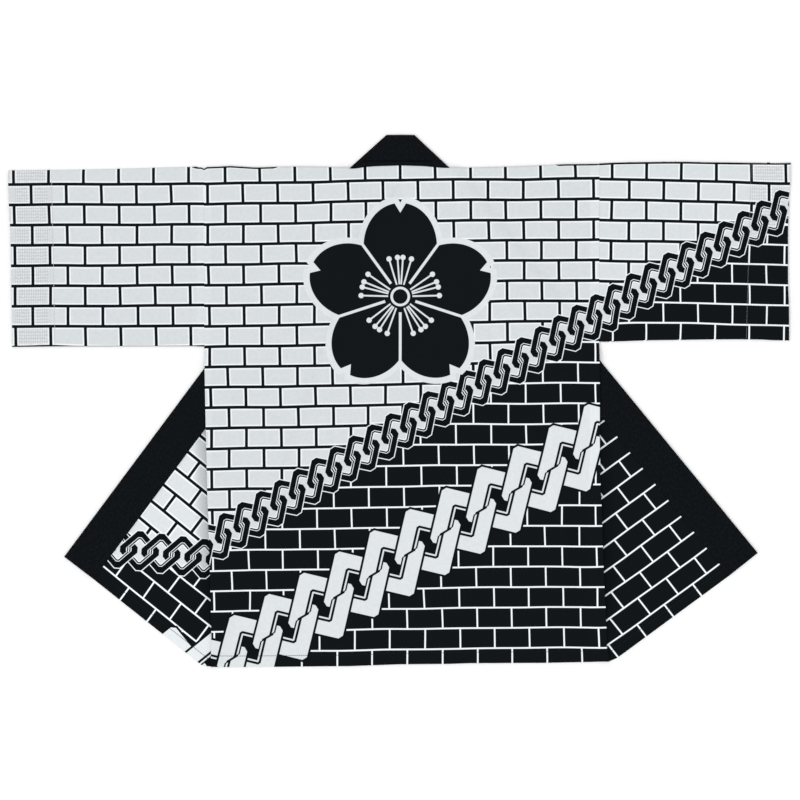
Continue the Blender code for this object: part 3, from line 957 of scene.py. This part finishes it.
sleeves = {
    "creases": {
        "left": [(-0.60, 0.14, -0.37, 0.12, 0.011, 0.0009), (-0.36, 0.35, -0.40, 0.17, 0.010, 0.0008),
                 (-0.56, 0.33, -0.43, 0.24, 0.013, 0.0008)],
        "right": [(0.61, 0.15, 0.39, 0.12, 0.011, 0.0009), (0.37, 0.36, 0.42, 0.19, 0.010, 0.0008),
                  (0.57, 0.33, 0.45, 0.27, 0.013, 0.0008)],
    },
    "rolling": 0.00025,
    "foldSteps": 6,
    "rollingPhase": {"left": 3.1, "right": 0.2},
    "lift": 0.0003,
    "deep": 0.29,
    "cuffs": {"left": (0.0715, 0.0715), "right": (0.0718, 0.0636)},  # depths at y 0.10 and y 0.38
    # thread and half its thickness
    "threads": {"left": (whiteThread, stitching["thick"]), "right": (greyThread, 0.00022)},
    "pulls": {
        "left": [(-615, 220, 40, 100, 0, 0.9), (-575, 145, 35, 40, 0, -0.8), (-452, 88, 110, 7, 0, 3.2),
                 (-575, 88, 30, 7, 0, -1.3), (-358, 147, 40, 50, 1.0, 0), (-342, 327, 35, 40, 0, -1.0),
                 (-375, 360, 25, 20, 1.2, 0), (-603, 294, 35, 35, -1.0, 0), (-391, 294, 45, 30, -0.7, 0),
                 (-522, 360, 50, 20, 0.8, 0)],
        "right": [(470, 125, 70, 45, -1.8, -0.9), (570, 215, 50, 40, 1.4, 0), (349, 104, 58, 30, -4.0, 0),
                  (349, 108, 28, 26, 0, 3.2), (590, 319, 50, 45, -1.3, 0), (606, 226, 30, 35, 0.8, -0.6),
                  (344, 172, 40, 40, -0.8, 0.5), (353, 253, 40, 35, 0, 0.7)],
    },
}


# Depth of the turned cuff at a height, from its foot to its top.
def cuffDepth(y, name):
    return np.interp(y, (0.10, 0.38), sleeves["cuffs"][name])


# Relief of a sleeve's upper layer: creases and rolling away from the folds, the seam and the turned cuff.
def sleeveRelief(x, y, side):
    name = side["name"]
    cuff = fromSeam(x, y, side, "cuffFoot", "cuffTop")
    seam = fromSeam(x, y, side, "armpit", "shoulder")
    folds = np.minimum(
        fromSeam(x, y, side, "cuffTop", "shoulder"), fromSeam(x, y, side, "cuffFoot", "armpit"))
    middle = np.clip(folds / 0.03, 0, 1)  # full 3 cm from the folds
    height = sleeves["lift"] + rolling(x, y, sleeves["rolling"], sleeves["rollingPhase"][name])
    height += creased(x, y, sleeves["creases"][name]) - seamGroove(seam)
    return middle * height + turnedEdge(cuff, cuffDepth(y, name)) * np.clip(folds / 0.004, 0, 1)


# Height of the middle of the upper layer's cloth.
def sleeveTop(x, y, side):
    return 1.5 * cloth["layer"] + cloth["air"] + sleeveRelief(x, y, side)


# A sleeve is a flat tube: the lower layer, the round of the upper fold, the upper layer and the round of
# the lower fold, each round half a circle between the layers.
def makeSleeve(side):
    name, inward = side["name"], side["inward"]
    top0, top1, foot0, foot1 = np.array(cornersOf(side, "cuffTop", "shoulder", "cuffFoot", "armpit"))
    a = spaced(np.linalg.norm(top1 - top0), cloth["cuff"], reach=0.013)[:, None]
    b = spaced(sleeves["deep"], last=cloth["lastStep"])
    topLine, footLine = top0 + a * (top1 - top0), foot0 + a * (foot1 - foot0)
    topLine[:, 1], footLine[:, 1] = edgeHeight(name, topLine[:, 0]), edgeHeight(name + "Foot", footLine[:, 0])
    flatX, flatY = rowsBetween(footLine, topLine, b)
    flatX = flatX + (1 - a) ** 8 * (placeAt(cuffs[name], flatY[:1]) - flatX[:1])
    footLine[:, 0], topLine[:, 0] = flatX[:, 0], flatX[:, -1]
    lowZ = np.full_like(flatX, cloth["layer"] / 2)
    highX, highY = flatX[:, ::-1], flatY[:, ::-1]
    highZ = sleeveTop(highX, highY, side)
    solid = "sleeve_" + name

    def strip(line, low, high, way):  # the round of a fold, a little flatter than half a circle
        bulge, z = foldRound(low, high, sleeves["foldSteps"])
        return np.broadcast_to(line[:, :1], z.shape), line[:, 1:] + 0.8 * way * bulge, z

    tx, ty, tz = strip(topLine, lowZ[:, -1:], highZ[:, :1], 1.0)
    fx, fy, fz = (part[:, ::-1] for part in strip(footLine, lowZ[:, :1], highZ[:, -1:], -1.0))
    lowU, lowV = reflected(flatX, flatY, side["cuffTop"], side["shoulder"])
    highU, highV = pulled(highX, highY, sleeves["pulls"][name])
    for row, past in edgeRows.items():
        column = -1 - row
        highV[:, column] = foldedPrint(highX[:, column], highV[:, column], solid, past)
    tube = [np.hstack(parts) for parts in (
        (flatX, tx, highX, fx, flatX[:, :1]), (flatY, ty, highY, fy, flatY[:, :1]),
        (lowZ, tz, highZ, fz, lowZ[:, :1]), (lowU, tx, highU, fx, flatX[:, :1]),
        (lowV, np.broadcast_to(highV[:, :1], ty.shape), highV, fy, flatY[:, :1]))]
    piece = makeCloth(solid, [tube], inward > 0)
    cuffLine = [foot0 + (top0 - foot0) * share for share in (0.004, 0.996)]  # clear of the folds
    cuffLine = [(x + inward * (cuffDepth(y, name) - turned["inset"]), y) for x, y in cuffLine]
    thread, thick = sleeves["threads"][name]
    threads = makeStitches(solid + "_cuff_stitches", cuffLine, lambda x, y: sleeveTop(x, y, side),
                           thread, thick)
    0.32 if inward > 0 else 0.31


for side in sides:
    makeSleeve(side)
print("sleeves made")

collar = {
    "edge": 0.0016,  # rounding of its edges
    "wide": 0.0585, "rows": (0.0035, 0.053, 26),  # first and last of the rows between the edges
    "step": 0.006,  # along the band
    "middleTop": (0.0025, 0.4342),
    "neckBends": (0.62, 0.93),  # shares of the way from the slanting folds to the neck's middle
    "seam": (0.007, 0.0015, 0.0004),  # from the inner edge, width and depth of its groove
    "fold": (-0.002, 0.3912, 0.057),  # behind the neck: middle x, y, half its length
    "foldGroove": (0.0016, 0.0006),  # width and depth
    "foldShade": 0.75,
    "color": (0.0035, 0.0045, 0.0055),
    "lint": (230.0, 2.2),  # scale, and how much paler
    "twill": 0.9,  # millimetres from line to line
    "finish": {"Roughness": 0.8, "Specular IOR Level": 0.03, "Sheen Weight": 0.01},
}


# Black cotton of the collar, with a twill line, lint and the dark line of the fold behind the neck.
def collarCotton():
    material, shader = newMaterial("collarCotton", collar["finish"])
    uv = printPlace(material)
    x, y = (part * 1000.0 for part in parted(uv))
    scale, paler = collar["lint"]
    lint = noise(uv, "Fac", scale, 5.0)
    share = lint.math("MULTIPLY_ADD", 3.0, -1.2, clamp=True)
    tone = mixed(dyed(collar["color"]), dyed(collar["color"], paler), share)
    foldX, foldY, foldHalf = (1000 * v for v in collar["fold"])
    acrossNeck, upNeck = (part * 1000.0 for part in placeOnCoat(uv.tree))
    fold = smaller(abs(upNeck - foldY).within(1.0, 1.4), abs(acrossNeck - foldX).within(foldHalf, 3.0))
    twill = (x + y).wave(collar["twill"], "SINE")
    finishShader(shader, tone, 1.0 - fold * collar["foldShade"], 0.2, twill + lint * 2.0)
    return material


# The band runs between its outer edge and its seam, and swells from a closed edge to its full
# thickness: half of it is sqrt(1 - (1 - d/r)^2) at distance d from the edge, with r the rounding.
def makeCollar():
    def half(side):
        top, seam = np.array(side["foldTop"]), np.array(neckSeam)
        bends = [tuple(top + share * (seam - top)) for share in collar["neckBends"]]
        outer = cornersOf(side, "collarTip", "collarSide", "collarFoot", "collarTop")
        return outer, cornersOf(side, "seamTip", "seamSide") + bends

    leftOuter, leftInner = half(leftSide)
    rightOuter, rightInner = half(rightSide)
    outer = np.array(leftOuter + [collar["middleTop"]] + rightOuter[::-1])
    inner = np.array(leftInner + [neckSeam] + rightInner[::-1])
    lengths = np.linalg.norm(np.diff(outer, axis=0), axis=1)
    starts = np.concatenate([[0], np.cumsum(lengths)])
    edge, wide = collar["edge"], collar["wide"]
    rim = np.array([0.0, 0.05, 0.2, 0.5, 1.0]) * edge
    places = [rim, starts[-1] - rim[::-1]]
    for begin, length in zip(starts, lengths):
        steps = max(3, round(length / collar["step"]))
        places.append(begin + np.linspace(0, 1, steps + 1) * length)
    places = np.unique(np.round(np.clip(np.concatenate(places), 0, starts[-1]), 6))
    places = places[np.concatenate([[True], np.diff(places) > 2e-5])]
    outer, inner = (
        np.column_stack([np.interp(places, starts, line[:, n]) for n in (0, 1)]) for line in (outer, inner))
    width = np.hypot(*(outer - inner).T)[:, None]
    w = np.concatenate([rim, np.linspace(*collar["rows"]), wide - rim[::-1]]) / wide
    x, y = rowsBetween(inner, outer, w)
    ends = np.minimum(places, starts[-1] - places)[:, None]
    away = np.minimum(np.minimum(w * width, (1 - w) * width), ends)
    swell = np.sqrt(1 - (1 - np.clip(away / edge, 0, 1)) ** 2)
    halfBand = cloth["band"] / 2 - 0.0001  # clear of the floor
    seamAt, seamWide, seamDeep = collar["seam"]
    foldX, foldY, foldHalf = collar["fold"]
    foldWide, foldDeep = collar["foldGroove"]
    sewn = seamDeep * np.exp(-(((w * width - seamAt) / seamWide) ** 2)) * (away > 0.004)
    sewn = sewn + foldDeep * np.exp(-(((y - foldY) / foldWide) ** 2)) * (np.abs(x - foldX) < foldHalf)
    u, v = np.repeat(places[:, None], len(w), 1), w * width
    upper = (x, y, halfBand + 0.0001 + swell * halfBand - sewn, u, v)
    lower = [part[:, ::-1] for part in (x, y, halfBand + 0.0001 - swell * halfBand, u, v)]
    piece = makeSheet("collar_cloth", [upper, lower], True)
    dress(piece, [collarCotton()], "collar")


makeCollar()
print("collar made")

studio = {
    "floor": {"Base Color": (0.98, 0.98, 0.98, 1), "Roughness": 0.9}, "floorHalf": 30, "sky": 0.92,
    "sun": 0.62, "sunWide": 12, "sunTurn": (52, 0, -60),  # strength, and degrees
    "camera": (0.0012, 0.0008, 3.27), "lens": 90.0,
}

half = studio["floorHalf"]
floorMesh = bpy.data.meshes.new("floor")
floorCorners = [(-half, -half, 0), (half, -half, 0), (half, half, 0), (-half, half, 0)]
floorMesh.from_pydata(floorCorners, [], [(0, 1, 2, 3)])
floorMesh.materials.append(newMaterial("paleFloor", studio["floor"])[0])
addObject("floor", floorMesh)

world = bpy.data.worlds.new("studio")
world.use_nodes = True
sky = world.node_tree.nodes["Background"]
sky.inputs["Color"].default_value = (1, 1, 1, 1)
sky.inputs["Strength"].default_value = studio["sky"]
scene.world = world
sun = bpy.data.lights.new("softSun", "SUN")
sun.energy, sun.angle = studio["sun"], math.radians(studio["sunWide"])
addObject("softSun", sun).rotation_euler = [math.radians(angle) for angle in studio["sunTurn"]]

cameraData = bpy.data.cameras.new("camera")
cameraData.lens, cameraData.sensor_width = studio["lens"], 36.0
camera = addObject("camera", cameraData)
camera.location = studio["camera"]
scene.camera = camera
scene.view_settings.view_transform = "Standard"
print("studio made")
